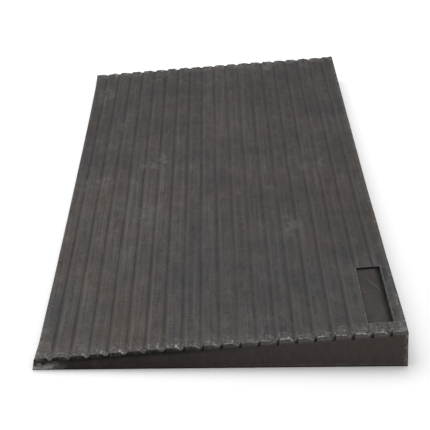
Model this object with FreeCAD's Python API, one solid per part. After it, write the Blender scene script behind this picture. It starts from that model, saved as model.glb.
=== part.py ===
"""Portable wheelchair ramp: one moulded rubber wedge with a ribbed tread and a glued-in label plate.

Frame, in millimetres: +X climbs from the thin toe edge to the thick heel edge, +Y runs
across the doorway along the ribs, +Z is up. The origin is at the centre of the underside.
"""
import FreeCAD, Part

import math
import os

os.makedirs("parts", exist_ok=True)
Vec = FreeCAD.Vector

# --- wedge -------------------------------------------------------------------
RUN = 400.0                 # toe to heel, measured on the underside
WIDTH = 900.0               # across the doorway, measured on the underside
TOE_HEIGHT = 12.0           # rib tops above the floor at the toe
HEEL_HEIGHT = 42.0          # rib tops above the floor at the heel
END_DRAFT = math.radians(2.0)    # mould draft of the heel face and the two end faces
TOE_DRAFT = math.radians(9.0)    # the toe face leans back further
CORNER_RADIUS = 0.8         # upright corners
TOE_EDGE_RADIUS = 2.4       # toe face into the tread
HEEL_EDGE_RADIUS = 1.4      # heel face into the tread

# --- ribbed tread ------------------------------------------------------------
RIB_PITCH = 20.0
GROOVE_COUNT = 19
FIRST_GROOVE = 18.0         # toe to the middle of the first groove's dark floor
GROOVE_DEPTH = 2.4
FLOOR_START = -0.8          # groove floor, from its nominal middle
FLOOR_END = 1.9
HEEL_SIDE_FLANK = 4.2       # width of the gentle flank that faces the heel
TOE_SIDE_FLANK = 2.0        # width of the steep flank that faces the toe
RIB_EDGE_RADIUS = 1.3
FLOOR_CORNER_RADIUS = 0.7
RIB_END_DROP = 3.0          # bevel on the rib ends, down the end face
RIB_END_SETBACK = 1.9       # bevel on the rib ends, along the rib

# --- label pocket, plate and adhesive ----------------------------------------
POCKET_LENGTH = 127.4       # along the ribs
POCKET_WIDTH = 28.4         # along the slope
POCKET_DEPTH = 4.6          # square to the slope, below the rib tops
POCKET_TOE_SIDE = 358.2     # toe to the pocket's downhill wall, along X
POCKET_END_MARGIN = 24.0    # near end of the ramp to the pocket
POCKET_CORNER_RADIUS = 1.2
PLATE_THICKNESS = 1.2
PLATE_GAP = 0.35            # between plate and pocket wall, on three sides
PLATE_HEEL_GAP = 3.2        # the wider gap on the heel side
PLATE_CORNER_RADIUS = 1.0
PLATE_EDGE_CHAMFER = 0.3
FILM_THICKNESS = 0.25
FILM_INSET = 1.0            # the film stops short of the plate's edge

CLEAR = 12.0                # how far a cutting tool reaches past the rubber

SLOPE = (HEEL_HEIGHT - TOE_HEIGHT) / RUN
SLOPE_ANGLE = math.atan(SLOPE)
TOE_X = -RUN / 2
HEEL_X = RUN / 2
END_Y = WIDTH / 2

# where the leaning toe and heel faces would meet the plane of the rib tops
TOE_TOP = TOE_HEIGHT / (1 - SLOPE * math.tan(TOE_DRAFT))
TOE_TOP_X = TOE_X + TOE_TOP * math.tan(TOE_DRAFT)
HEEL_TOP = HEEL_HEIGHT / (1 + SLOPE * math.tan(END_DRAFT))
HEEL_TOP_X = HEEL_X - HEEL_TOP * math.tan(END_DRAFT)


def tread_height(run):
    """Height of the rib tops at a distance from the toe, along X."""
    return TOE_HEIGHT + SLOPE * run


def solid_from_faces(corners, faces):
    """A closed solid from corner points and the corner numbers of each face."""
    shells = [Part.Face(Part.makePolygon([corners[i] for i in face + face[:1]])) for face in faces]
    solid = Part.makeSolid(Part.makeShell(shells))
    if solid.Volume < 0:
        solid.reverse()
    return solid


def rounded_wire(points, radii):
    """A closed wire through the points, each corner rounded by its own radius."""
    edges = []
    starts = []
    ends = []
    count = len(points)
    for i in range(count):
        here = points[i]
        back = (points[i - 1] - here).normalize()
        ahead = (points[(i + 1) % count] - here).normalize()
        half_turn = back.getAngle(ahead) / 2
        reach = radii[i] / math.tan(half_turn)
        starts.append(here + back * reach)
        ends.append(here + ahead * reach)
        if radii[i] > 0:
            bisector = (back + ahead).normalize()
            middle = here + bisector * (radii[i] / math.sin(half_turn) - radii[i])
            edges.append(Part.Arc(starts[i], middle, ends[i]).toShape())
        else:
            edges.append(None)
    wire_edges = []
    for i in range(count):
        if edges[i] is not None:
            wire_edges.append(edges[i])
        wire_edges.append(Part.LineSegment(ends[i], starts[(i + 1) % count]).toShape())
    return Part.Wire(wire_edges)


def plain_wedge():
    """The drafted wedge before its grooves are cut, with its upright corners rounded."""
    toe_top_y = END_Y - TOE_TOP * math.tan(END_DRAFT)
    heel_top_y = END_Y - HEEL_TOP * math.tan(END_DRAFT)
    corners = [
        Vec(TOE_X, -END_Y, 0), Vec(HEEL_X, -END_Y, 0),
        Vec(HEEL_X, END_Y, 0), Vec(TOE_X, END_Y, 0),
        Vec(TOE_TOP_X, -toe_top_y, TOE_TOP), Vec(HEEL_TOP_X, -heel_top_y, HEEL_TOP),
        Vec(HEEL_TOP_X, heel_top_y, HEEL_TOP), Vec(TOE_TOP_X, toe_top_y, TOE_TOP),
    ]
    faces = [[0, 3, 2, 1], [4, 5, 6, 7], [0, 1, 5, 4], [2, 3, 7, 6], [1, 2, 6, 5], [3, 0, 4, 7]]
    wedge = solid_from_faces(corners, faces)
    uprights = []
    for edge in wedge.Edges:
        low, high = sorted(vertex.Z for vertex in edge.Vertexes)
        if low < 1 < high:
            uprights.append(edge)
    return wedge.makeFillet(CORNER_RADIUS, uprights)


def round_long_edge(body, radius, edge_x):
    """Round the long edge between the tread and the toe or heel face."""
    long_edges = []
    for edge in body.Edges:
        if edge.Length > RUN and abs(edge.CenterOfMass.x - edge_x) < 0.5:
            long_edges.append(edge)
    return body.makeFillet(radius, long_edges)


def groove_tool(number):
    """The space of one groove, with its floor corners and both rib edges rounded."""
    middle = FIRST_GROOVE + RIB_PITCH * number

    def corner(offset, depth):
        run = middle + offset
        return Vec(TOE_X + run, -END_Y - CLEAR, tread_height(run) - depth)

    left = FLOOR_START - HEEL_SIDE_FLANK
    right = FLOOR_END + TOE_SIDE_FLANK
    outline = [
        corner(left - RIB_EDGE_RADIUS, -CLEAR),
        corner(left - RIB_EDGE_RADIUS, 0),
        corner(left, 0),
        corner(FLOOR_START, GROOVE_DEPTH),
        corner(FLOOR_END, GROOVE_DEPTH),
        corner(right, 0),
        corner(right + RIB_EDGE_RADIUS, 0),
        corner(right + RIB_EDGE_RADIUS, -CLEAR),
    ]
    radii = [0, 0, RIB_EDGE_RADIUS, FLOOR_CORNER_RADIUS, FLOOR_CORNER_RADIUS, RIB_EDGE_RADIUS, 0, 0]
    face = Part.Face(rounded_wire(outline, radii))
    return face.extrude(Vec(0, WIDTH + 2 * CLEAR, 0))


def rib_end_tool(side):
    """The wedge of space that bevels the rib ends on one side, -1 or +1 along Y."""
    start = TOE_X - CLEAR
    top = tread_height(-CLEAR)
    face_y = END_Y - top * math.tan(END_DRAFT)
    fall = RIB_END_DROP / RIB_END_SETBACK
    outline = [
        Vec(start, side * (face_y - RIB_END_SETBACK - CLEAR), top + CLEAR * fall),
        Vec(start, side * (face_y + CLEAR), top - RIB_END_DROP - CLEAR * fall),
        Vec(start, side * (face_y + CLEAR), top + CLEAR * fall),
    ]
    face = Part.Face(Part.makePolygon(outline + outline[:1]))
    length = RUN + 2 * CLEAR
    climb = length * SLOPE
    return face.extrude(Vec(length, -side * climb * math.tan(END_DRAFT), climb))


def on_slope(shape, depth):
    """Lay a shape, drawn flat about the pocket's middle, at a depth below the rib tops."""
    middle_run = POCKET_TOE_SIDE + POCKET_WIDTH / 2 * math.cos(SLOPE_ANGLE)
    middle_y = -END_Y + POCKET_END_MARGIN + POCKET_LENGTH / 2
    shape.rotate(Vec(0, 0, 0), Vec(0, 1, 0), -math.degrees(SLOPE_ANGLE))
    drop = Vec(math.sin(SLOPE_ANGLE), 0, -math.cos(SLOPE_ANGLE)) * depth
    shape.translate(Vec(TOE_X + middle_run, middle_y, tread_height(middle_run)) + drop)
    return shape


def rounded_slab(toe_gap, heel_gap, end_gap, thickness, radius):
    """A flat slab of the pocket's outline less its gaps, top face at zero, with rounded upright corners."""
    size_x = POCKET_WIDTH - toe_gap - heel_gap
    size_y = POCKET_LENGTH - 2 * end_gap
    corner = Vec(-POCKET_WIDTH / 2 + toe_gap, -size_y / 2, -thickness)
    slab = Part.makeBox(size_x, size_y, thickness, corner)
    uprights = [edge for edge in slab.Edges if abs(edge.Length - thickness) < 1e-6]
    return slab.makeFillet(radius, uprights)


def label_pocket():
    """The space of the label pocket, open at the top."""
    slab = rounded_slab(0, 0, 0, POCKET_DEPTH + CLEAR, POCKET_CORNER_RADIUS)
    slab.translate(Vec(0, 0, CLEAR))
    return on_slope(slab, 0)


def make_ramp_body():
    """The moulded rubber wedge with its ribs, bevelled rib ends and label pocket."""
    body = plain_wedge()
    body = body.cut([groove_tool(number) for number in range(GROOVE_COUNT)])
    body = body.cut([rib_end_tool(-1), rib_end_tool(1)])
    body = round_long_edge(body, TOE_EDGE_RADIUS, TOE_TOP_X)
    body = round_long_edge(body, HEEL_EDGE_RADIUS, HEEL_TOP_X)
    body = body.cut(label_pocket())
    return body.Solids[0]


def make_label_plate():
    """The blank label plate, with a small chamfer round its top face."""
    plate = rounded_slab(
        PLATE_GAP, PLATE_HEEL_GAP, PLATE_GAP, PLATE_THICKNESS, PLATE_CORNER_RADIUS
    )
    top_edges = [
        edge for edge in plate.Edges if all(abs(vertex.Z) < 1e-6 for vertex in edge.Vertexes)
    ]
    plate = plate.makeChamfer(PLATE_EDGE_CHAMFER, top_edges)
    return on_slope(plate, POCKET_DEPTH - FILM_THICKNESS - PLATE_THICKNESS)


def make_label_adhesive():
    """The thin adhesive film between the label plate and the pocket floor."""
    gap = PLATE_GAP + FILM_INSET
    heel_gap = PLATE_HEEL_GAP + FILM_INSET
    film = rounded_slab(gap, heel_gap, gap, FILM_THICKNESS, PLATE_CORNER_RADIUS)
    return on_slope(film, POCKET_DEPTH - FILM_THICKNESS)


NODES = {
    "ramp_body": make_ramp_body,
    "label_plate": make_label_plate,
    "label_adhesive": make_label_adhesive,
}

for node_name, make_node in NODES.items():
    node = make_node()
    box = node.BoundBox
    print(node_name, "valid", node.isValid(), "volume", round(node.Volume), "solids", len(node.Solids))
    print("  X %.2f..%.2f  Y %.2f..%.2f  Z %.2f..%.2f" % (
        box.XMin, box.XMax, box.YMin, box.YMax, box.ZMin, box.ZMax))
    node.exportStep("parts/" + node_name + ".step")
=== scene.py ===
"""Looks of a moulded rubber wheelchair ramp: a ribbed wedge with a label plate in a pocket.

Frame, in metres: +X climbs from the toe edge to the heel edge, +Y runs along the ribs, +Z is up.
"""
import logging
import math
from dataclasses import dataclass, field
from enum import Enum

import bmesh
import bpy
from mathutils import Matrix, Vector, noise


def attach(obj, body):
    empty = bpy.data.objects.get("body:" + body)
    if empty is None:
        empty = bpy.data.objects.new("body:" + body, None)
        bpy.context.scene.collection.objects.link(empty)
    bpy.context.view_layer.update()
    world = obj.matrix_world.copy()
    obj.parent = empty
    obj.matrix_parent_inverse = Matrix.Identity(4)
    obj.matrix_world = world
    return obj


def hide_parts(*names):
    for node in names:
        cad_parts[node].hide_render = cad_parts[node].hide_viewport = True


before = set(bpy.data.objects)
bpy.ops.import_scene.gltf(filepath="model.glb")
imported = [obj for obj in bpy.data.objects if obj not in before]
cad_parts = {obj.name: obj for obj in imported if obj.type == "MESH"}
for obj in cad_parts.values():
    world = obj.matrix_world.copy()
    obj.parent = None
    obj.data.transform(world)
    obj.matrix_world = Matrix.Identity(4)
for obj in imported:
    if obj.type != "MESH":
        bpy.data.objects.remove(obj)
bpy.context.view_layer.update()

LOG = logging.getLogger("ramp")
BODY = "root"
MM = 0.001
DULL = 0.12
HEEL_HALF = (0.13, 0.30)
RIB_TOP = (0.20, 0.25)
TEAR_PATCH = (62.0, 62.0, 62.0)
Colour = tuple[float, float, float, float]
Source = bpy.types.NodeSocket | float | Colour | Vector


class Side(Enum):
    """Which end of the ribs, by its sign along Y."""

    NEAR = -1
    FAR = 1


def clamp(value: float) -> float:
    """Keep a value between nought and one."""
    return max(0.0, min(1.0, value))


def smooth(value: float, low: float, high: float) -> float:
    """Rise smoothly from nought at low to one at high.

    Args:
        value: the value to judge.
        low: where the rise starts.
        high: where the rise ends.

    Returns:
        The smooth step, from nought to one.
    """
    share = clamp((value - low) / (high - low))
    return share * share * (3.0 - 2.0 * share)


def wander(place: Vector, size: float, seed: float) -> float:
    """Read smooth noise about nought.

    Args:
        place: where to read it, in metres.
        size: the size of one bump, in metres.
        seed: moves the reading to another part of the noise.

    Returns:
        The noise, from about minus one to one.
    """
    return noise.noise(place / size + Vector((seed, seed * 1.7, -seed)))


@dataclass(frozen=True)
class Tread:
    """The ribbed wedge that every piece and finish measures itself by, in metres."""

    run: float = 0.400
    width: float = 0.900
    toe_height: float = 0.012
    heel_height: float = 0.042
    draft: float = math.radians(2.0)
    pitch: float = 0.020
    first_groove: float = 0.018
    bevel_drop: float = 0.0030
    bevel_setback: float = 0.0019

    @property
    def slope(self) -> float:
        """Rise of the tread per metre of run."""
        return (self.heel_height - self.toe_height) / self.run

    def height(self, run: float) -> float:
        """Height of the rib tops at a distance from the toe."""
        return self.toe_height + self.slope * run

    def bevel_normal(self, side: Side) -> Vector:
        """Give the outward normal of the bevel on the rib ends.

        Args:
            side: the end of the ribs.

        Returns:
            The unit normal.
        """
        lean = math.tan(self.draft) * self.slope
        along = Vector((1.0, -side.value * lean, self.slope))
        down = Vector((0.0, side.value * self.bevel_setback, -self.bevel_drop))
        normal = along.cross(down)
        if normal.z < 0.0:
            normal.negate()
        return normal.normalized()

    def groove_phase(self, bench: "NodeBench", run: Source) -> bpy.types.NodeSocket:
        """Say where a point lies between grooves: nought in a groove, a half midway to the next.

        Args:
            bench: the material's nodes.
            run: distance from the toe.

        Returns:
            The phase, from minus a half to a half, rising towards the heel.
        """
        ribs = bench.math("DIVIDE", bench.math("SUBTRACT", run, self.first_groove), self.pitch)
        return bench.math("SUBTRACT", bench.math("FRACT", bench.plus(ribs, 10.5)), 0.5)

    def bevel_point(self, side: Side) -> Vector:
        """Give a point on the bevel's upper line, above the toe.

        Args:
            side: the end of the ribs.

        Returns:
            The point.
        """
        reach = self.width / 2 - self.toe_height * math.tan(self.draft) - self.bevel_setback
        return Vector((-self.run / 2, side.value * reach, self.toe_height))


class NodeBench:
    """Short calls that lay out one material's nodes."""

    def __init__(self, name: str) -> None:
        """Start an empty material with an output and a shader.

        Args:
            name: the material's name.
        """
        self.material = bpy.data.materials.new(name)
        self.material.use_nodes = True
        self.tree = self.material.node_tree
        self.tree.nodes.clear()
        self.shader = self.tree.nodes.new("ShaderNodeBsdfPrincipled")
        output = self.tree.nodes.new("ShaderNodeOutputMaterial")
        self.tree.links.new(self.shader.outputs[0], output.inputs["Surface"])
        self.place = self.tree.nodes.new("ShaderNodeTexCoord").outputs["Object"]
        parts = self.tree.nodes.new("ShaderNodeSeparateXYZ")
        self.tree.links.new(self.place, parts.inputs[0])
        self.x, self.y, self.z = parts.outputs

    def feed(self, socket: bpy.types.NodeSocket, value: Source) -> None:
        """Link a socket to another, or set it to a plain value.

        Args:
            socket: the input to feed.
            value: a socket, a number, a colour or a vector.
        """
        if isinstance(value, bpy.types.NodeSocket):
            self.tree.links.new(value, socket)
        else:
            socket.default_value = value

    def math(self, operation: str, first: Source, second: Source = 0.0) -> bpy.types.NodeSocket:
        """Add a Math node.

        Args:
            operation: the node's operation.
            first: a socket or a number.
            second: a socket or a number.

        Returns:
            The result.
        """
        node = self.tree.nodes.new("ShaderNodeMath")
        node.operation = operation
        self.feed(node.inputs[0], first)
        self.feed(node.inputs[1], second)
        return node.outputs[0]

    def times(self, *factors: Source) -> bpy.types.NodeSocket:
        """Multiply sockets and numbers together.

        Args:
            factors: sockets or numbers.

        Returns:
            Their product.
        """
        result = factors[0]
        for factor in factors[1:]:
            result = self.math("MULTIPLY", result, factor)
        return result

    def plus(self, *terms: Source) -> bpy.types.NodeSocket:
        """Add sockets and numbers together.

        Args:
            terms: sockets or numbers.

        Returns:
            Their sum.
        """
        result = terms[0]
        for term in terms[1:]:
            result = self.math("ADD", result, term)
        return result

    def step(self, value: Source, low: float, high: float,
             start: float = 0.0, end: float = 1.0) -> bpy.types.NodeSocket:
        """Add a smooth step.

        Args:
            value: the socket to judge.
            low: where the step starts.
            high: where the step ends.
            start: the result below low.
            end: the result above high.

        Returns:
            The result.
        """
        node = self.tree.nodes.new("ShaderNodeMapRange")
        node.interpolation_type = "SMOOTHSTEP"
        self.feed(node.inputs["Value"], value)
        limits = {"From Min": low, "From Max": high, "To Min": start, "To Max": end}
        for name, number in limits.items():
            node.inputs[name].default_value = number
        return node.outputs[0]

    def hump(self, value: Source, middle: float, reach: float) -> bpy.types.NodeSocket:
        """Add a smooth hump that is one at its middle and nought beyond its reach.

        Args:
            value: the socket to judge.
            middle: where the hump is highest.
            reach: how far it spreads to each side.

        Returns:
            The hump.
        """
        away = self.math("ABSOLUTE", self.math("SUBTRACT", value, middle))
        return self.step(away, 0.0, reach, 1.0, 0.0)

    def grain(self, stretch: tuple[float, float, float], detail: float = 3.0,
              rough: float = 0.55, shift: float = 0.0, turn: float = 0.0) -> bpy.types.NodeSocket:
        """Add noise with its own scale along each axis.

        Args:
            stretch: bumps per metre along X, Y and Z.
            detail: octaves of the noise.
            rough: how strong the finer octaves are.
            shift: moves the pattern, to make it differ from others.
            turn: turns the pattern about Z, in radians.

        Returns:
            The noise, about one half.
        """
        mapping = self.tree.nodes.new("ShaderNodeMapping")
        mapping.inputs["Rotation"].default_value = (0.0, 0.0, turn)
        mapping.inputs["Scale"].default_value = stretch
        mapping.inputs["Location"].default_value = (shift, shift * 0.7, -shift)
        self.feed(mapping.inputs["Vector"], self.place)
        node = self.tree.nodes.new("ShaderNodeTexNoise")
        node.inputs["Scale"].default_value = 1.0
        node.inputs["Detail"].default_value = detail
        node.inputs["Roughness"].default_value = rough
        self.feed(node.inputs["Vector"], mapping.outputs[0])
        return node.outputs[0]

    def mix(self, share: Source, first: Source, second: Source) -> bpy.types.NodeSocket:
        """Mix two colours.

        Args:
            share: how much of the second, from nought to one.
            first: a colour or a socket.
            second: a colour or a socket.

        Returns:
            The mixed colour.
        """
        node = self.tree.nodes.new("ShaderNodeMix")
        node.data_type = "RGBA"
        self.feed(node.inputs[0], share)
        self.feed(node.inputs[6], first)
        self.feed(node.inputs[7], second)
        return node.outputs[2]

    def dot(self, vector: Source, other: Vector) -> bpy.types.NodeSocket:
        """Add a dot product.

        Args:
            vector: a vector socket.
            other: a fixed vector.

        Returns:
            The product.
        """
        node = self.tree.nodes.new("ShaderNodeVectorMath")
        node.operation = "DOT_PRODUCT"
        self.feed(node.inputs[0], vector)
        node.inputs[1].default_value = other
        return node.outputs["Value"]

    def bump(self, height: Source, strength: float, distance: float) -> None:
        """Add relief to the shader.

        Args:
            height: the height, from nought to one.
            strength: how strong the relief is.
            distance: the height of one, in metres.
        """
        node = self.tree.nodes.new("ShaderNodeBump")
        node.inputs["Strength"].default_value = strength
        node.inputs["Distance"].default_value = distance
        self.feed(node.inputs["Height"], height)
        self.tree.links.new(node.outputs[0], self.shader.inputs["Normal"])


def rgb(red: float, green: float, blue: float) -> Colour:
    """Make an opaque linear colour."""
    return (red, green, blue, 1.0)


@dataclass(frozen=True)
class Scuff:
    """A pale rubbed patch on the tread: its middle, reach and strength."""

    run: float
    along: float
    reach_x: float
    reach_y: float
    strength: float


@dataclass(frozen=True)
class MouldedRubber:
    """Black rubber gone grey with dust, scuffed on top, and darker on its upright faces, partly
    from its dark moulded skin and partly as painted shade.
    """

    tread: Tread
    warm: Colour = rgb(0.062, 0.050, 0.044)
    cool: Colour = rgb(0.0475, 0.0475, 0.049)
    # Dust colour, also used as painted light on the groove flanks and on the heel-half rib-end
    # bevels.
    dust_and_painted_light: Colour = rgb(0.115, 0.104, 0.096)
    worn: Colour = rgb(0.30, 0.29, 0.275)
    # Pale rib-end marks: chalky wear and flash, partly painted highlight on the rib ends and right
    # flanks.
    chalk: Colour = rgb(0.44, 0.43, 0.42)
    deep: Colour = rgb(0.016, 0.0155, 0.0165)
    black: Colour = rgb(0.003, 0.003, 0.003)
    # Upright-face colours: dark moulded skin with painted shade in it, standing in for the weaker
    # light on those faces, darkest towards the toe.
    skin_and_shade_toe: Colour = rgb(0.021, 0.0160, 0.0140)
    skin_and_shade_heel: Colour = rgb(0.050, 0.041, 0.036)
    near_tears: tuple[float, float, float] = (280.0, 280.0, 280.0)
    far_tears: tuple[float, float, float] = (190.0, 80.0, 190.0)
    pocket_run: tuple[float, float] = (0.3582, 0.3865)
    pocket_along: tuple[float, float] = (0.024, 0.1514)
    scuffs: tuple[Scuff, ...] = (
        Scuff(0.112, 0.514, 0.030, 0.040, 0.64),
        Scuff(0.061, 0.663, 0.016, 0.045, 0.48),
        Scuff(0.024, 0.800, 0.018, 0.050, 0.60),
        Scuff(0.028, 0.450, 0.035, 0.030, 0.44),
        Scuff(0.035, 0.590, 0.030, 0.050, 0.32),
        Scuff(0.290, 0.270, 0.022, 0.045, 0.40),
        Scuff(0.288, 0.872, 0.012, 0.026, 1.00),
        Scuff(0.264, 0.873, 0.010, 0.020, 0.80),
        Scuff(0.349, 0.866, 0.013, 0.028, 1.00),
        Scuff(0.113, 0.340, 0.028, 0.050, 0.36),
        Scuff(0.330, 0.470, 0.030, 0.070, 0.36),
        Scuff(0.180, 0.830, 0.060, 0.050, 0.32),
        Scuff(0.110, 0.860, 0.040, 0.030, 0.36),
        Scuff(0.392, 0.040, 0.012, 0.060, 0.48),
        Scuff(0.390, 0.007, 0.011, 0.014, 0.95),
        Scuff(0.006, 0.030, 0.016, 0.060, 0.48),
    )

    def dress(self) -> bpy.types.Material:
        """Build the material.

        Returns:
            The material.
        """
        bench = NodeBench("moulded_rubber")
        tread = self.tread
        run = bench.plus(bench.x, tread.run / 2)
        along = bench.plus(bench.y, tread.width / 2)
        normal = bench.tree.nodes.new("ShaderNodeNewGeometry").outputs["Normal"]
        facing = bench.tree.nodes.new("ShaderNodeSeparateXYZ")
        bench.feed(facing.inputs[0], normal)
        upward = facing.outputs["Z"]
        endward = bench.math("ABSOLUTE", facing.outputs["Y"])
        upper = bench.step(upward, 0.25, 0.45)
        slope_line = bench.plus(bench.times(run, tread.slope), tread.toe_height)
        depth = bench.math("SUBTRACT", slope_line, bench.z)

        colour = self.tread_colour(bench, run, along)
        # The upright faces take the skin colour with its painted shade, darker towards the toe,
        # then mottled and streaked.
        skin_and_shade = bench.mix(bench.step(run, 0.03, 0.36), self.skin_and_shade_toe, self.skin_and_shade_heel)
        mottle = bench.grain((90.0, 90.0, 60.0), 5.0, 0.7, 3.1)
        skin_and_shade = bench.mix(bench.step(mottle, 0.45, 0.72, 0.0, 0.30), skin_and_shade, self.warm)
        drip = bench.grain((330.0, 330.0, 90.0), 4.0, 0.70, 23.0)
        skin_and_shade = bench.mix(bench.step(drip, 0.52, 0.34, 0.0, 0.16), skin_and_shade, self.black)
        colour = bench.mix(upper, skin_and_shade, colour)
        colour = self.rib_end_colour(bench, colour, run, depth, endward)
        colour = self.foot_colour(bench, colour, run, upward)
        colour = self.pocket_colour(bench, colour, run, along, depth)
        bench.feed(bench.shader.inputs["Base Color"], colour)

        speckle = bench.grain((700.0, 700.0, 700.0), 4.0, 0.7)
        pits = bench.grain((160.0, 60.0, 160.0), 5.0, 0.65, 7.0)
        bench.feed(bench.shader.inputs["Roughness"], bench.step(pits, 0.3, 0.7, 0.62, 0.82))
        bench.bump(bench.plus(bench.times(speckle, 0.45), pits), 0.55, 0.0006)
        bench.shader.inputs["Specular IOR Level"].default_value = DULL
        return bench.material

    def tread_colour(self, bench: NodeBench, run: Source, along: Source) -> bpy.types.NodeSocket:
        """Colour the upward faces.

        Args:
            bench: the material's nodes.
            run: distance from the toe.
            along: distance from the near end.

        Returns:
            The colour.
        """
        cloud = bench.grain((26.0, 10.0, 26.0), 5.0, 0.70, 1.3)
        cooler = bench.times(bench.step(along, 0.10, 0.40, 0.10, 0.0), bench.step(run, 0.10, 0.18))
        tone = bench.step(bench.math("SUBTRACT", cloud, cooler), 0.36, 0.60)
        colour = bench.mix(tone, self.cool, self.warm)
        blot = bench.grain((64.0, 28.0, 64.0), 5.0, 0.70, 5.5)
        colour = bench.mix(bench.step(blot, 0.50, 0.28, 0.0, 0.46), colour, self.deep)
        streak = bench.grain((380.0, 6.0, 20.0), 4.0, 0.62, 2.2)
        dusty = bench.plus(bench.step(streak, 0.46, 0.72, 0.0, 0.46),
                           bench.step(blot, 0.48, 0.72, 0.0, 0.38))
        cross = bench.grain((22.0, 420.0, 22.0), 4.0, 0.6, 8.8, 0.22)
        dusty = bench.plus(dusty, bench.step(cross, 0.54, 0.76, 0.0, 0.40))
        speck = bench.grain((340.0, 110.0, 340.0), 4.0, 0.75, 41.0)
        colour = bench.mix(bench.step(speck, 0.50, 0.33, 0.0, 0.42), colour, self.deep)
        grit = bench.grain((520.0, 420.0, 520.0), 3.0, 0.75, 9.9)
        dusty = bench.plus(dusty, bench.step(grit, 0.52, 0.70, 0.0, 0.78))
        colour = bench.mix(dusty, colour, self.dust_and_painted_light)
        colour = self.groove_colour(bench, colour, run)
        colour = self.scuffed(bench, colour, run, along)
        broad = bench.grain((7.0, 9.0, 7.0), 3.0, 0.6, 14.5)
        far_toe = bench.times(bench.step(along, 0.25, 0.75), bench.step(run, 0.12, 0.22, 1.0, 0.0))
        inner_heel = bench.times(bench.step(along, 0.05, 0.12), bench.step(run, 0.21, 0.28))
        # Darker towards the heel, at the far toe, near the inner heel and in broad patches; the
        # darkening towards the far end is painted shade for the light falling off along the ribs.
        darkening_and_far_shade = bench.plus(bench.step(run, 0.08, 0.22, 0.0, 0.15),
                           bench.step(along, 0.20, 0.80, 0.0, 0.14),
                           bench.times(far_toe, 0.20), bench.times(inner_heel, 0.10),
                           bench.step(broad, 0.62, 0.38, 0.0, 0.14))
        colour = bench.mix(darkening_and_far_shade, colour, self.deep)
        off_middle = bench.math("ABSOLUTE", bench.x)
        edge = bench.step(off_middle, self.tread.run / 2 - 0.010, self.tread.run / 2 - 0.001)
        chips = bench.step(bench.grain((300.0, 200.0, 300.0), 4.0, 0.75, 27.0), 0.50, 0.66)
        return bench.mix(bench.times(edge, chips, 0.55), colour, self.worn)

    def groove_colour(self, bench: NodeBench, colour: Source, run: Source) -> bpy.types.NodeSocket:
        """Lay dust and painted fill light on the groove flanks, soot and painted shade on the
        groove floors and wear on the rib shoulders.

        Args:
            bench: the material's nodes.
            colour: the colour so far.
            run: distance from the toe.

        Returns:
            The colour.
        """
        phase = self.tread.groove_phase(bench, run)
        near_toe = bench.step(run, 0.11, 0.26, 1.0, 0.0)
        rubbed = bench.step(bench.grain((240.0, 9.0, 20.0), 4.0, 0.6, 4.4), 0.30, 0.62, 0.35, 1.0)
        near_heel = bench.step(run, 0.23, 0.32)
        banked = bench.plus(bench.times(near_toe, -0.22), bench.times(near_heel, 0.12), 0.74)
        # Dust on the groove flanks, partly painted fill light that lifts flanks the lighting leaves
        # too dark.
        dust_and_fill_light = bench.plus(bench.times(bench.hump(phase, -0.17, 0.19), 0.30),
                             bench.times(bench.hump(phase, 0.150, 0.10), banked))
        worn = bench.times(bench.hump(phase, 0.25, 0.13), rubbed,
                           bench.plus(bench.times(near_toe, 0.24), 0.04))
        colour = bench.mix(bench.plus(dust_and_fill_light, worn), colour, self.dust_and_painted_light)
        # Soot on the groove floors, partly painted shade in the hollow of each groove, strongest
        # towards the toe.
        soot_and_shade = bench.plus(bench.times(near_toe, 0.32), bench.times(near_heel, 0.20), 0.24)
        return bench.mix(bench.times(bench.hump(phase, 0.010, 0.085), soot_and_shade), colour, self.deep)

    def scuffed(self, bench: NodeBench, colour: Source, run: Source,
                along: Source) -> bpy.types.NodeSocket:
        """Rub pale scuffs into the tread, made of fine scratches that cross each other.

        Args:
            bench: the material's nodes.
            colour: the colour so far.
            run: distance from the toe.
            along: distance from the near end.

        Returns:
            The colour.
        """
        rake = bench.step(bench.grain((60.0, 620.0, 60.0), 4.0, 0.65, 9.1, 0.35), 0.48, 0.72)
        comb = bench.step(bench.grain((620.0, 50.0, 60.0), 4.0, 0.65, 6.3, 0.12), 0.48, 0.72)
        chalk = bench.step(bench.grain((70.0, 50.0, 70.0), 4.0, 0.7, 3.9), 0.38, 0.66)
        scratched = bench.math("MAXIMUM", rake, comb)
        patchy = bench.times(bench.plus(bench.times(scratched, 0.85), 0.15), chalk)
        for scuff in self.scuffs:
            across = bench.math("DIVIDE", bench.math("SUBTRACT", run, scuff.run), scuff.reach_x)
            length = bench.math("DIVIDE", bench.math("SUBTRACT", along, scuff.along), scuff.reach_y)
            away = bench.plus(bench.times(across, across), bench.times(length, length))
            share = bench.times(bench.step(away, 0.0, 1.0, 1.0, 0.0), patchy, scuff.strength)
            colour = bench.mix(share, colour, self.worn)
        return colour

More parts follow.
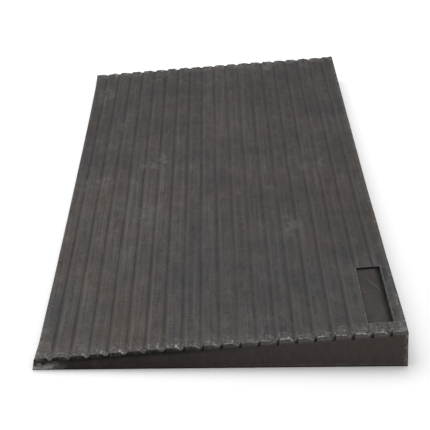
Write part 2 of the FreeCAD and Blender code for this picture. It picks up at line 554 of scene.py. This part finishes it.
    def rib_end_colour(self, bench: NodeBench, colour: Source, run: Source, depth: Source,
                       endward: Source) -> bpy.types.NodeSocket:
        """Draw the worn line that follows each rib's end, partly painted highlight, darken the
        bevel below it with painted shade in the toe half, paint light onto it in the heel half, and
        paint the shaded groove mouths black.

        Args:
            bench: the material's nodes.
            colour: the colour so far.
            run: distance from the toe.
            depth: depth below the rib tops.
            endward: how far the normal points along the ribs.

        Returns:
            The colour.
        """
        heelward = bench.step(run, *HEEL_HALF)
        toeward = bench.math("SUBTRACT", 1.0, heelward)
        phase = self.tread.groove_phase(bench, run)
        rib_top = bench.step(bench.math("ABSOLUTE", phase), *RIB_TOP)
        flank = bench.hump(phase, -0.16, 0.11)
        shoulder = bench.hump(phase, -0.285, 0.075)
        hollow = bench.step(bench.math("ABSOLUTE", bench.plus(phase, -0.12)), 0.05, 0.12, 1.0, 0.0)
        ended = bench.step(endward, 0.50, 0.70)
        mottle = bench.grain((300.0, 300.0, 300.0), 4.0, 0.7, 19.0)
        below = bench.plus(depth, bench.times(bench.plus(mottle, -0.5), 0.0050))
        # Painted shade: the toe-half bevels below the rib tops are turned black, mottled, as if out
        # of the light.
        shade = bench.times(bench.step(below, -0.0004, 0.0016, 0.35, 0.88),
                            bench.step(below, 0.0032, 0.0085, 1.0, 0.0),
                            bench.step(mottle, 0.34, 0.56, 0.55, 1.0))
        colour = bench.mix(bench.times(ended, toeward, shade), colour, self.black)
        # Painted light: the heel-half bevels are lightened with mottled glints, as if they caught
        # the light.
        painted_bevel_glint = bench.times(bench.step(depth, 0.0010, 0.0062, 1.0, 0.0),
                            bench.step(mottle, 0.34, 0.66, 0.25, 1.0))
        colour = bench.mix(bench.times(ended, heelward, painted_bevel_glint, 0.60), colour, self.dust_and_painted_light)
        for side in Side:
            facing = self.tread.bevel_normal(side)
            level = self.tread.bevel_point(side).dot(facing)
            gap = bench.math("SUBTRACT", level, bench.dot(bench.place, facing))
            near_end = bench.step(bench.times(bench.y, float(side.value)), 0.0, 0.1)
            tears = self.near_tears if side is Side.NEAR else self.far_tears
            torn = bench.grain(tears, 4.0, 0.7, 12.0 + side.value)
            chance = bench.step(bench.grain(TEAR_PATCH, 3.0, 0.6, 31.0 + side.value), 0.44, 0.60)
            edge = bench.plus(gap, bench.times(bench.plus(torn, -0.5), 0.0036))
            flat = bench.step(endward, 0.35, 0.55, 1.0, 0.0)
            line = bench.step(edge, 0.0004, 0.0018, 1.0, 0.0)
            ridge = bench.times(rib_top, bench.plus(bench.times(heelward, chance, 0.85),
                                                    bench.times(chance, 0.10)))
            # Pale streaks down each rib's right flank: chalky flash, partly painted highlight where
            # these flanks face the light.
            streak = bench.times(shoulder, chance, bench.step(edge, 0.0010, 0.0095, 1.0, 0.0))
            flank_pale = bench.times(flank, chance, bench.step(edge, 0.0006, 0.0034, 1.0, 0.0))
            pale = bench.math("MAXIMUM", bench.times(line, ridge),
                              bench.math("MAXIMUM", streak, flank_pale))
            pale = bench.times(pale, bench.step(torn, 0.34, 0.58, 0.20, 1.0), flat, near_end)
            powder = 0.30 if side is Side.NEAR else 0.36
            dusting = bench.times(bench.step(edge, 0.0, 0.024, 1.0, 0.0),
                                  bench.step(torn, 0.46, 0.66), flat, powder)
            chalk_and_glint_share = bench.times(bench.math("MAXIMUM", pale, dusting), 0.90)
            colour = bench.mix(chalk_and_glint_share, colour, self.chalk)
            # Painted shade: a black spot on the steep flank in each groove mouth at the rib ends,
            # where shadow falls.
            groove_mouth_shade = bench.times(hollow, bench.step(edge, 0.0010, 0.0040, 1.0, 0.0), near_end,
                              bench.step(below, 0.0034, 0.0052, 1.0, 0.0),
                              bench.step(torn, 0.30, 0.50, 0.7, 1.0))
            colour = bench.mix(groove_mouth_shade, colour, self.black)
        return colour

    def pocket_colour(self, bench: NodeBench, colour: Source, run: Source, along: Source,
                      depth: Source) -> bpy.types.NodeSocket:
        """Blacken the walls and floor of the label pocket as painted shade, and wear its rim.

        Args:
            bench: the material's nodes.
            colour: the colour so far.
            run: distance from the toe.
            along: distance from the near end.
            depth: depth below the rib tops.

        Returns:
            The colour.
        """
        gaps = []
        for place, (low, high) in ((run, self.pocket_run), (along, self.pocket_along)):
            centred = bench.math("SUBTRACT", place, (low + high) / 2)
            off_middle = bench.math("ABSOLUTE", centred)
            gaps.append(bench.math("SUBTRACT", off_middle, (high - low) / 2))
        outside = bench.math("MAXIMUM", gaps[0], gaps[1])
        chipped = bench.grain((400.0, 260.0, 400.0), 4.0, 0.7, 17.0)
        rim = bench.times(bench.step(outside, 0.0002, 0.0013, 1.0, 0.0),
                          bench.step(chipped, 0.35, 0.60, 0.3, 1.0))
        colour = bench.mix(bench.times(rim, 0.40), colour, self.worn)
        # Painted shade: inside the pocket, below the rim, the walls and floor are turned black.
        pocket_shade = bench.times(bench.step(outside, 0.0, 0.0003, 1.0, 0.0),
                           bench.step(depth, 0.0003, 0.0009))
        above_base = bench.step(depth, 0.0080, 0.0100, 1.0, 0.0)
        return bench.mix(bench.times(pocket_shade, above_base, 0.96), colour, self.black)

    def foot_colour(self, bench: NodeBench, colour: Source, run: Source,
                    upward: Source) -> bpy.types.NodeSocket:
        """Rub the foot of the upright faces and the thin toe pale, and paint shade along their
        base.

        Args:
            bench: the material's nodes.
            colour: the colour so far.
            run: distance from the toe.
            upward: the normal's upward part.

        Returns:
            The colour.
        """
        upright = bench.step(upward, 0.20, 0.40, 1.0, 0.0)
        chips = bench.grain((180.0, 180.0, 260.0), 4.0, 0.7, 15.0)
        off_middle = bench.math("ABSOLUTE", bench.y)
        half = self.tread.width / 2
        corner = bench.step(off_middle, half - 0.007, half - 0.001)
        toe = bench.times(bench.step(run, 0.008, 0.040, 1.0, 0.0),
                          bench.step(bench.z, 0.001, 0.010, 1.0, 0.2),
                          bench.plus(bench.times(corner, 0.7), 0.3))
        foot = bench.times(bench.hump(bench.z, 0.0028, 0.0016),
                           bench.step(run, 0.15, 0.30, 0.0, 0.12))
        heel_end = self.tread.run
        heel = bench.times(bench.step(run, heel_end - 0.007, heel_end - 0.001), corner, 0.45)
        worn = bench.math("MAXIMUM", bench.math("MAXIMUM", toe, foot), heel)
        rubbed = bench.times(worn, bench.step(chips, 0.38, 0.60), upright)
        colour = bench.mix(rubbed, colour, self.worn)
        # Painted shade: the upright faces turn darker over their lowest millimetre or so, where
        # they meet the floor.
        base_shade = bench.step(bench.z, 0.0006, 0.0016, 0.55, 0.0)
        return bench.mix(bench.times(base_shade, upright), colour, self.black)


@dataclass(frozen=True)
class FlashRubber:
    """The torn rubber of the thin flash along a parting line, whitened where it is stretched and
    partly as painted highlight, and painted black as shade in the groove mouths.
    """

    tread: Tread
    pale: Colour = rgb(0.42, 0.41, 0.40)
    dark: Colour = rgb(0.062, 0.058, 0.055)
    black: Colour = rgb(0.006, 0.006, 0.006)

    def dress(self) -> bpy.types.Material:
        """Build the material.

        Returns:
            The material.
        """
        bench = NodeBench("flash_rubber")
        torn = bench.grain((260.0, 260.0, 260.0), 4.0, 0.65)
        run = bench.plus(bench.x, self.tread.run / 2)
        phase = self.tread.groove_phase(bench, run)
        flank = bench.hump(phase, -0.16, 0.13)
        rib_top = bench.step(bench.math("ABSOLUTE", phase), *RIB_TOP)
        ridge = bench.times(rib_top, bench.step(run, *HEEL_HALF))
        chance = bench.step(bench.grain(TEAR_PATCH, 3.0, 0.6, 30.0), 0.42, 0.58, 0.15, 1.0)
        # Pale where the flash is stretched, partly painted highlight on the right flanks that face
        # the light.
        stretched = bench.times(bench.math("MAXIMUM", bench.times(flank, chance), ridge),
                                bench.step(torn, 0.40, 0.60, 0.15, 1.0))
        colour = bench.mix(stretched, self.dark, self.pale)
        # Painted shade: the bead goes black where it crosses the shaded flank of each groove mouth.
        colour = bench.mix(bench.hump(phase, 0.125, 0.115), colour, self.black)
        bench.feed(bench.shader.inputs["Base Color"], colour)
        bench.feed(bench.shader.inputs["Roughness"], bench.step(torn, 0.3, 0.7, 0.7, 0.9))
        bench.bump(torn, 0.4, 0.0003)
        return bench.material


@dataclass(frozen=True)
class LabelPlastic:
    """Dark satin plastic in hazy clouds, with painted shade along its heel and toe edges and a
    scratch across it.
    """

    tread: Tread
    face: Colour = rgb(0.033, 0.027, 0.0265)
    haze: Colour = rgb(0.046, 0.040, 0.038)
    scratch: Colour = rgb(0.125, 0.107, 0.086)
    # Painted shade cast onto the plate by the pocket walls.
    edge_shade: Colour = rgb(0.004, 0.004, 0.004)
    scratch_start: tuple[float, float] = (0.3660, 0.1325)
    scratch_end: tuple[float, float] = (0.3822, 0.0945)
    scratch_width: float = 0.0007

    def dress(self) -> bpy.types.Material:
        """Build the material.

        Returns:
            The material.
        """
        bench = NodeBench("label_plastic")
        cloud = bench.grain((60.0, 25.0, 60.0), 5.0, 0.6, 1.0)
        colour = bench.mix(bench.step(cloud, 0.40, 0.70), self.face, self.haze)
        corner = Vector((-self.tread.run / 2, -self.tread.width / 2, 0.0))
        start = corner + Vector((*self.scratch_start, 0.0))
        end = corner + Vector((*self.scratch_end, 0.0))
        along = (end - start).normalized()
        across = Vector((-along.y, along.x, 0.0))
        travel = bench.math("SUBTRACT", bench.dot(bench.place, along), start.dot(along))
        share = bench.math("DIVIDE", travel, (end - start).length)
        bow = bench.times(share, bench.math("SUBTRACT", 1.0, share), 0.006)
        sway = bench.math("SUBTRACT", bench.dot(bench.place, across), start.dot(across))
        away = bench.math("ABSOLUTE", bench.math("SUBTRACT", sway, bow))
        line = bench.step(away, 0.0, self.scratch_width, 1.0, 0.0)
        within = bench.times(bench.step(share, 0.0, 0.06), bench.step(share, 0.94, 1.0, 1.0, 0.0))
        skip = bench.step(bench.grain((500.0, 500.0, 500.0), 3.0, 0.6, 2.0), 0.30, 0.50, 0.4, 1.0)
        mark = bench.times(line, within, skip, bench.step(share, 0.0, 0.45, 0.45, 1.0))
        colour = bench.mix(mark, colour, self.scratch)
        run = bench.plus(bench.x, self.tread.run / 2)
        reach = bench.plus(bench.y, self.tread.width / 2)
        crease = bench.times(bench.hump(reach, 0.0985, 0.0016),
                             bench.step(run, 0.372, 0.378, 1.0, 0.0))
        colour = bench.mix(bench.times(crease, 0.22), colour, self.scratch)
        # Painted shade: the plate darkens towards its heel edge, by the pocket wall, and in a thin
        # band at its toe edge.
        edge_shade = bench.plus(bench.step(run, 0.3775, 0.3834, 0.0, 0.85),
                           bench.step(run, 0.3586, 0.3598, 0.5, 0.0))
        colour = bench.mix(edge_shade, colour, self.edge_shade)
        bench.feed(bench.shader.inputs["Base Color"], colour)
        fine = bench.grain((900.0, 120.0, 900.0), 4.0, 0.6, 4.0)
        bench.feed(bench.shader.inputs["Roughness"], bench.step(fine, 0.3, 0.7, 0.52, 0.66))
        bench.bump(bench.math("SUBTRACT", bench.times(fine, 0.2), mark), 0.4, 0.0002)
        bench.shader.inputs["Specular IOR Level"].default_value = DULL
        return bench.material


@dataclass(frozen=True)
class AdhesiveFilm:
    """Dull, slightly yellowed glue under the label plate."""

    clear: Colour = rgb(0.30, 0.27, 0.21)
    aged: Colour = rgb(0.20, 0.165, 0.11)

    def dress(self) -> bpy.types.Material:
        """Build the material.

        Returns:
            The material.
        """
        bench = NodeBench("adhesive_film")
        cloud = bench.grain((120.0, 120.0, 120.0), 4.0, 0.6)
        colour = bench.mix(bench.step(cloud, 0.4, 0.65), self.clear, self.aged)
        bench.feed(bench.shader.inputs["Base Color"], colour)
        bench.feed(bench.shader.inputs["Roughness"], bench.step(cloud, 0.3, 0.7, 0.55, 0.75))
        bench.bump(cloud, 0.3, 0.0001)
        return bench.material


@dataclass(frozen=True)
class StudioPaper:
    """The matt white paper sweep that the ramp is laid on."""

    white: Colour = rgb(0.90, 0.90, 0.90)
    shade: Colour = rgb(0.885, 0.885, 0.89)

    def dress(self) -> bpy.types.Material:
        """Build the material.

        Returns:
            The material.
        """
        bench = NodeBench("studio_paper")
        fibre = bench.grain((8.0, 8.0, 8.0), 3.0, 0.5)
        bench.feed(bench.shader.inputs["Base Color"], bench.mix(fibre, self.white, self.shade))
        bench.shader.inputs["Roughness"].default_value = 0.9
        bench.shader.inputs["Specular IOR Level"].default_value = 0.1
        return bench.material


def piece_from(bench_mesh: bmesh.types.BMesh, name: str,
               material: bpy.types.Material) -> bpy.types.Object:
    """Turn a finished bmesh into an object at the origin.

    Args:
        bench_mesh: the mesh, which is freed.
        name: the piece's name.
        material: its finish.

    Returns:
        The object, linked to the scene.
    """
    mesh = bpy.data.meshes.new(name)
    bench_mesh.to_mesh(mesh)
    bench_mesh.free()
    mesh.materials.append(material)
    piece = bpy.data.objects.new(name, mesh)
    bpy.context.scene.collection.objects.link(piece)
    return piece


@dataclass
class RampMoulding:
    """The rubber wedge, with the sags, waves and ragged rib ends of a used moulding."""

    tread: Tread
    node: str = "ramp_body"
    merge_gap: float = 0.004 * MM
    flat_angle: float = math.radians(0.4)
    smooth_angle: float = math.radians(32.0)
    first_station: float = 1.2 * MM
    station_growth: float = 1.25
    longest_station: float = 18.0 * MM
    end_zone: float = 12.0 * MM
    rib_end_step: float = 2.0 * MM
    toe_bow: float = 1.7 * MM
    heel_bow: float = 1.9 * MM
    edge_land: float = 11.0 * MM
    corner_flare: float = 1.5 * MM
    crown: float = 0.7 * MM
    wave: float = 0.28 * MM
    rag: float = 0.75 * MM
    groove_depth: float = 2.4 * MM
    pad_start: float = 350.0 * MM
    pad_near: float = 20.0 * MM
    pad_far: float = 158.0 * MM
    pad_fade: float = 14.0 * MM
    pad_rise: float = 4.0 * MM
    pad_fill: float = 0.8
    flare_reach: float = 45.0 * MM
    wave_sizes: tuple[float, float, float] = (30.0 * MM, 20.0 * MM, 45.0 * MM)
    wave_stretch: float = 0.35
    rag_sizes: tuple[float, float] = (5.0 * MM, 4.2 * MM)
    rag_depths: tuple[float, float] = (-4.5 * MM, -1.0 * MM)
    pocket_depths: tuple[float, float] = (2.7 * MM, 3.4 * MM)
    pocket_reach: tuple[float, float] = (0.35, 0.357)
    depth_slack: float = 0.2 * MM
    resting: float = 0.05 * MM
    on_bevel: float = 0.995
    on_end: float = 0.5
    flash_lines: dict[Side, list[list[Vector]]] = field(default_factory=dict)

    def build(self, material: bpy.types.Material) -> bpy.types.Object:
        """Make the moulding in place of its CAD node.

        Args:
            material: the rubber.

        Returns:
            The finished piece.
        """
        mesh = bmesh.new()
        mesh.from_mesh(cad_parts[self.node].data)
        bmesh.ops.remove_doubles(mesh, verts=mesh.verts, dist=self.merge_gap)
        bmesh.ops.dissolve_limit(mesh, angle_limit=self.flat_angle, use_dissolve_boundaries=False,
                                 verts=mesh.verts, edges=mesh.edges)
        self.cut_stations(mesh)
        self.cut_rib_ends(mesh)
        rib_ends = {side: self.bevel_chains(mesh, side) for side in Side}
        for vertex in mesh.verts:
            vertex.co += self.drift(vertex.co)
        self.flash_lines = {
            side: [[vertex.co.copy() for vertex in chain] for chain in chains]
            for side, chains in rib_ends.items()
        }
        bmesh.ops.recalc_face_normals(mesh, faces=mesh.faces)
        piece = piece_from(mesh, "ramp_moulding", material)
        piece.data.shade_smooth()
        piece.data.set_sharp_from_angle(angle=self.smooth_angle)
        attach(piece, BODY)
        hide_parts(self.node)
        return piece

    def cut_stations(self, mesh: bmesh.types.BMesh) -> None:
        """Cut the moulding across the ribs, closely at its ends and widely between.

        Args:
            mesh: the moulding.
        """
        reach = self.tread.width / 2 - self.tread.bevel_setback
        gap = self.first_station
        places = [0.0]
        while reach > 0.0:
            places += [reach, -reach]
            reach -= gap
            gap = min(gap * self.station_growth, self.longest_station)
        for place in places:
            everything = mesh.verts[:] + mesh.edges[:] + mesh.faces[:]
            bmesh.ops.bisect_plane(mesh, geom=everything, dist=self.merge_gap,
                                   plane_co=(0.0, place, 0.0), plane_no=(0.0, 1.0, 0.0))

    def cut_rib_ends(self, mesh: bmesh.types.BMesh) -> None:
        """Cut the last few millimetres of the ribs finely along the run.

        Args:
            mesh: the moulding.
        """
        edge = self.tread.width / 2 - self.end_zone
        count = int(self.tread.run / self.rib_end_step)
        for number in range(1, count):
            faces = [face for face in mesh.faces if abs(face.calc_center_median().y) > edge]
            edges = list({near for face in faces for near in face.edges})
            verts = list({near for face in faces for near in face.verts})
            place = -self.tread.run / 2 + self.rib_end_step * number
            bmesh.ops.bisect_plane(mesh, geom=verts + edges + faces, dist=self.merge_gap,
                                   plane_co=(place, 0.0, 0.0), plane_no=(1.0, 0.0, 0.0))

    def bevel_chains(self, mesh: bmesh.types.BMesh, side: Side) -> list[list[bmesh.types.BMVert]]:
        """Find where the bevel on the rib ends meets the tread.

        Args:
            mesh: the moulding.
            side: the end of the ribs.

        Returns:
            One run of vertices for each rib, from toe to heel.
        """
        facing = self.tread.bevel_normal(side)
        mesh.normal_update()
        links: dict[bmesh.types.BMVert, bmesh.types.BMVert] = {}
        for edge in mesh.edges:
            if len(edge.link_faces) != 2:
                continue
            on_bevel = [face.normal.dot(facing) > self.on_bevel for face in edge.link_faces]
            endward = [face.normal.y * side.value > self.on_end for face in edge.link_faces]
            if on_bevel.count(True) == 1 and endward.count(True) == 1:
                low, high = sorted(edge.verts, key=lambda vertex: vertex.co.x)
                links[low] = high
        starts = sorted(set(links) - set(links.values()), key=lambda vertex: vertex.co.x)
        chains = []
        for start in starts:
            chain = [start]
            while chain[-1] in links:
                chain.append(links[chain[-1]])
            chains.append(chain)
        return chains

    def drift(self, place: Vector) -> Vector:
        """Say how far a point of the moulding has strayed from its design.

        Args:
            place: the point, in metres.

        Returns:
            How far it moves.
        """
        tread = self.tread
        run = place.x + tread.run / 2
        top = tread.height(run)
        lift = clamp(place.z / top)
        depth = top - place.z
        inward = tread.width / 2 - abs(place.y)
        bow = 1.0 - (2.0 * place.y / tread.width) ** 2
        toe_land = 1.0 - smooth(run, 0.0, self.edge_land)
        heel_land = smooth(run, tread.run - self.edge_land, tread.run)
        in_pocket = smooth(depth, *self.pocket_depths) * smooth(run, *self.pocket_reach)
        open_tread = 1.0 - in_pocket

        shift = Vector((0.0, 0.0, 0.0))
        shift.x += self.toe_bow * bow * toe_land
        shift.x -= self.heel_bow * bow * heel_land
        shift.x -= self.corner_flare * toe_land * (1.0 - smooth(inward, 0.0, self.flare_reach))
        share = run / tread.run
        shift.z += self.crown * 4.0 * share * (1.0 - share) * lift * open_tread
        near_end = smooth(-inward, -self.end_zone, 0.0)
        long_x, long_y, long_z = self.wave_sizes
        stretched = Vector((place.x, place.y * self.wave_stretch, 0.0))
        shift.z += self.wave * wander(place, long_z, 3.0) * lift * open_tread
        shift.x += self.wave * wander(stretched, long_x, 7.0) * lift * open_tread
        shift.y += self.wave * wander(place, long_y, 11.0) * lift * near_end

        along = place.y + tread.width / 2
        pad = smooth(run, self.pad_start - self.pad_rise, self.pad_start)
        pad *= smooth(along, self.pad_near - self.pad_fade, self.pad_near)
        pad *= 1.0 - smooth(along, self.pad_far, self.pad_far + self.pad_fade)
        if 0.0 < depth < self.groove_depth + self.depth_slack:
            shift.z += depth * pad * self.pad_fill

        ragged = near_end * smooth(-depth, *self.rag_depths)
        fine_y, fine_z = self.rag_sizes
        shift.z += self.rag * ragged * wander(place, fine_z, 5.0)
        shift.y += self.rag * ragged * wander(place, fine_y, 9.0)
        if place.z < self.resting:
            shift.z = 0.0
        return shift


@dataclass
class RibEndFlash:
    """The thin torn bead of flash left along the rib ends on one side."""

    side: Side
    thickest: float = 0.46 * MM
    thinnest: float = 0.08 * MM
    spot: float = 6.0 * MM
    evenness: float = 0.35
    lumpiness: float = 1.3
    merge_gap: float = 0.001 * MM
    corners: int = 1

    def build(self, lines: list[list[Vector]], material: bpy.types.Material) -> bpy.types.Object:
        """Lay a bead along every rib end.

        Args:
            lines: one run of points for each rib.
            material: the flash.

        Returns:
            The finished piece.
        """
        name = "rib_end_flash_" + self.side.name.lower()
        curve = bpy.data.curves.new(name, "CURVE")
        curve.dimensions = "3D"
        curve.bevel_depth = 1.0
        curve.bevel_resolution = self.corners
        curve.use_fill_caps = True
        for line in lines:
            spline = curve.splines.new("POLY")
            spline.points.add(len(line) - 1)
            for point, place in zip(spline.points, line):
                lump = self.lumpiness * wander(place, self.spot, 21.0)
                thick = clamp(self.evenness + lump)
                point.co = (*place, 1.0)
                point.radius = self.thinnest + (self.thickest - self.thinnest) * thick
        draft = bpy.data.objects.new(name, curve)
        bpy.context.scene.collection.objects.link(draft)
        mesh = bmesh.new()
        shape = draft.to_mesh()
        mesh.from_mesh(shape)
        draft.to_mesh_clear()
        bpy.data.objects.remove(draft)
        bpy.data.curves.remove(curve)
        bmesh.ops.remove_doubles(mesh, verts=mesh.verts, dist=self.merge_gap)
        bmesh.ops.recalc_face_normals(mesh, faces=mesh.faces)
        piece = piece_from(mesh, name, material)
        piece.data.shade_smooth()
        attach(piece, BODY)
        return piece


@dataclass
class CarriedLabel:
    """The label plate and its glue, kept as the CAD has them and given their finishes."""

    plate: str = "label_plate"
    film: str = "label_adhesive"

    def dress(self, plastic: bpy.types.Material, glue: bpy.types.Material) -> None:
        """Give both nodes their materials.

        Args:
            plastic: the plate's finish.
            glue: the film's finish.
        """
        for name, material in ((self.plate, plastic), (self.film, glue)):
            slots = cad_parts[name].data.materials
            slots.clear()
            slots.append(material)


@dataclass
class Studio:
    """White paper floor, soft overhead light and the camera."""

    floor_size: float = 7.0
    floor_drop: float = 0.2 * MM
    sky: float = 0.64
    softbox_size: float = 2.2
    softbox_power: float = 46.0
    softbox_place: tuple[float, float, float] = (-0.25, 0.50, 2.3)
    camera_place: tuple[float, float, float] = (-0.010078, -1.601329, 0.740277)
    camera_yaw: float = math.radians(-0.2455)
    camera_pitch: float = math.radians(25.878)
    camera_roll: float = math.radians(-0.4458)
    lens: float = 106.478
    sensor: float = 36.0

    def build(self, paper: bpy.types.Material) -> None:
        """Set up the whole studio.

        Args:
            paper: the floor's finish.
        """
        mesh = bmesh.new()
        bmesh.ops.create_grid(mesh, x_segments=4, y_segments=4, size=self.floor_size / 2)
        bmesh.ops.translate(mesh, verts=mesh.verts, vec=(0.0, 0.0, -self.floor_drop))
        piece_from(mesh, "studio_floor", paper)
        self.hang_softbox()
        self.fill_sky()
        self.set_camera()

    def hang_softbox(self) -> None:
        """Hang one large soft light above and behind the ramp."""
        light = bpy.data.lights.new("softbox", "AREA")
        light.shape = "SQUARE"
        light.size = self.softbox_size
        light.energy = self.softbox_power
        lamp = bpy.data.objects.new("softbox", light)
        place = Vector(self.softbox_place)
        aim = (-place).to_track_quat("-Z", "Y").to_matrix().to_4x4()
        lamp.matrix_world = Matrix.Translation(place) @ aim
        bpy.context.scene.collection.objects.link(lamp)

    def fill_sky(self) -> None:
        """Fill the room with even white light."""
        world = bpy.data.worlds.new("white_room")
        world.use_nodes = True
        background = world.node_tree.nodes["Background"]
        background.inputs["Color"].default_value = rgb(1.0, 1.0, 1.0)
        background.inputs["Strength"].default_value = self.sky
        bpy.context.scene.world = world
        bpy.context.scene.view_settings.view_transform = "Standard"

    def set_camera(self) -> None:
        """Place the camera beyond the near end, looking down along the ribs."""
        level_right = Vector((math.cos(self.camera_yaw), math.sin(self.camera_yaw), 0.0))
        level_ahead = Vector((-math.sin(self.camera_yaw), math.cos(self.camera_yaw), 0.0))
        up = Vector((0.0, 0.0, 1.0))
        ahead = level_ahead * math.cos(self.camera_pitch) - up * math.sin(self.camera_pitch)
        above = level_ahead * math.sin(self.camera_pitch) + up * math.cos(self.camera_pitch)
        right = level_right * math.cos(self.camera_roll) + above * math.sin(self.camera_roll)
        above = right.cross(ahead)
        turn = Matrix((right, above, -ahead)).transposed().to_4x4()
        data = bpy.data.cameras.new("camera")
        data.lens = self.lens
        data.sensor_width = self.sensor
        camera = bpy.data.objects.new("camera", data)
        camera.matrix_world = Matrix.Translation(Vector(self.camera_place)) @ turn
        bpy.context.scene.collection.objects.link(camera)
        bpy.context.scene.camera = camera


def main() -> None:
    """Build the studio and every piece of the ramp."""
    tread = Tread()
    Studio().build(StudioPaper().dress())
    LOG.info("studio ready")
    moulding = RampMoulding(tread)
    piece = moulding.build(MouldedRubber(tread).dress())
    LOG.info("%s: %d faces", piece.name, len(piece.data.polygons))
    flash = FlashRubber(tread).dress()
    for side in Side:
        piece = RibEndFlash(side).build(moulding.flash_lines[side], flash)
        LOG.info("%s: %d faces", piece.name, len(piece.data.polygons))
    CarriedLabel().dress(LabelPlastic(tread).dress(), AdhesiveFilm().dress())
    LOG.info("label dressed")


if __name__ == "__main__":
    logging.basicConfig(level=logging.INFO)
    main()
